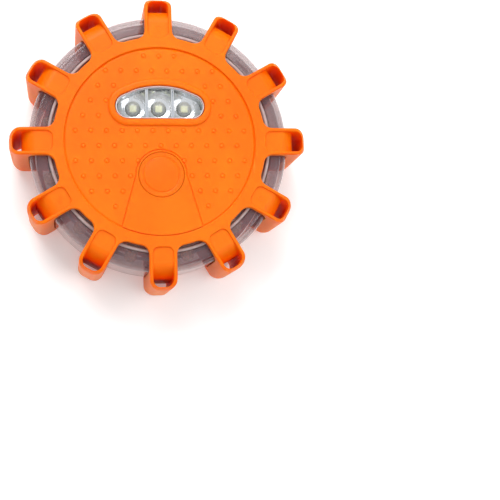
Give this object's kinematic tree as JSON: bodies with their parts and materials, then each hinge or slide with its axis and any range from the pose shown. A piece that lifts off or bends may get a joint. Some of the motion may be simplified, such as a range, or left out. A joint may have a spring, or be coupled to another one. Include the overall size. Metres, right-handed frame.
{
  "type": "led safety flare",
  "caption": "Round battery road flare: orange pronged shell round a clear lamp ring, lamp window and push button on the face, magnet and fold-out hook on the back.",
  "frame": {"origin": "centre of the back face, which the flare lies on", "axes": "+Z out of the lamp face, +Y from the push button towards the lamp window, +X to the right when the face is seen with the window up"},
  "size_m": [0.108, 0.108, 0.035],
  "materials": {
    "orange_shell": "satin moulded orange",
    "clear_plastic": "clear moulded polycarbonate",
    "chrome": "vacuum-metallised plastic",
    "zinc": "zinc plated",
    "magnet_nickel": "nickel plated, scuffed",
    "brass": "stamped strip",
    "black_plastic": "moulded black",
    "board": "green solder mask",
    "cell": "plain cell jacket",
    "white_lamp": "clear epoxy with pale yellow phosphor",
    "amber_lamp": "clear epoxy",
    "seal_rubber": "matt"
  },
  "bodies": {
    "case": {"front_shell": "orange_shell", "back_cover": "orange_shell", "clear_lens_ring": "clear_plastic", "clear_base_ring": "clear_plastic", "window_lens": "clear_plastic", "seal_front": "seal_rubber", "seal_back": "seal_rubber", "hook_pin": "zinc", "magnet": "magnet_nickel", "case_screw_left": "zinc", "case_screw_right": "zinc", "board_screw_1": "zinc", "board_screw_2": "zinc", "reflector": "chrome", "white_led_1": "white_lamp", "white_led_2": "white_lamp", "white_led_3": "white_lamp", "amber_led_1": "amber_lamp", "amber_led_2": "amber_lamp", "amber_led_3": "amber_lamp", "amber_led_4": "amber_lamp", "amber_led_5": "amber_lamp", "amber_led_6": "amber_lamp", "amber_led_7": "amber_lamp", "amber_led_8": "amber_lamp", "amber_led_9": "amber_lamp", "amber_led_10": "amber_lamp", "amber_led_11": "amber_lamp", "amber_led_12": "amber_lamp", "circuit_board": "board", "controller_chip": "black_plastic", "switch_body": "black_plastic", "battery_tray": "black_plastic", "battery_cell_1": "cell", "battery_cell_2": "cell", "battery_cell_3": "cell", "contact_spring_1": "zinc", "contact_spring_2": "zinc", "contact_spring_3": "zinc", "contact_positive": "brass", "contact_link_front": "brass", "contact_link_rear": "brass", "contact_negative": "brass"},
    "hook": {"hook": "orange_shell"},
    "power_button": {"power_button": "orange_shell"},
    "switch_plunger": {"switch_plunger": "black_plastic"}
  },
  "joints": [
    {"name": "hook_fold", "type": "hinge", "parent": "case", "child": "hook", "pos_m": [-0.0018, -0.0312, 0.0016], "axis": [-1, 0, 0], "range_deg": [0, 95]},
    {"name": "button_press", "type": "slide", "parent": "case", "child": "power_button", "axis": [0, 0, -1], "range_m": [0, 0.0006], "stiffness_N_per_m": 1500, "springref_m": -0.0002},
    {"name": "plunger_press", "type": "slide", "parent": "case", "child": "switch_plunger", "axis": [0, 0, -1], "range_m": [0, 0.0006]}
  ],
  "couplings": [
    {"joint": "plunger_press", "follows": "button_press", "ratio": 1}
  ]
}
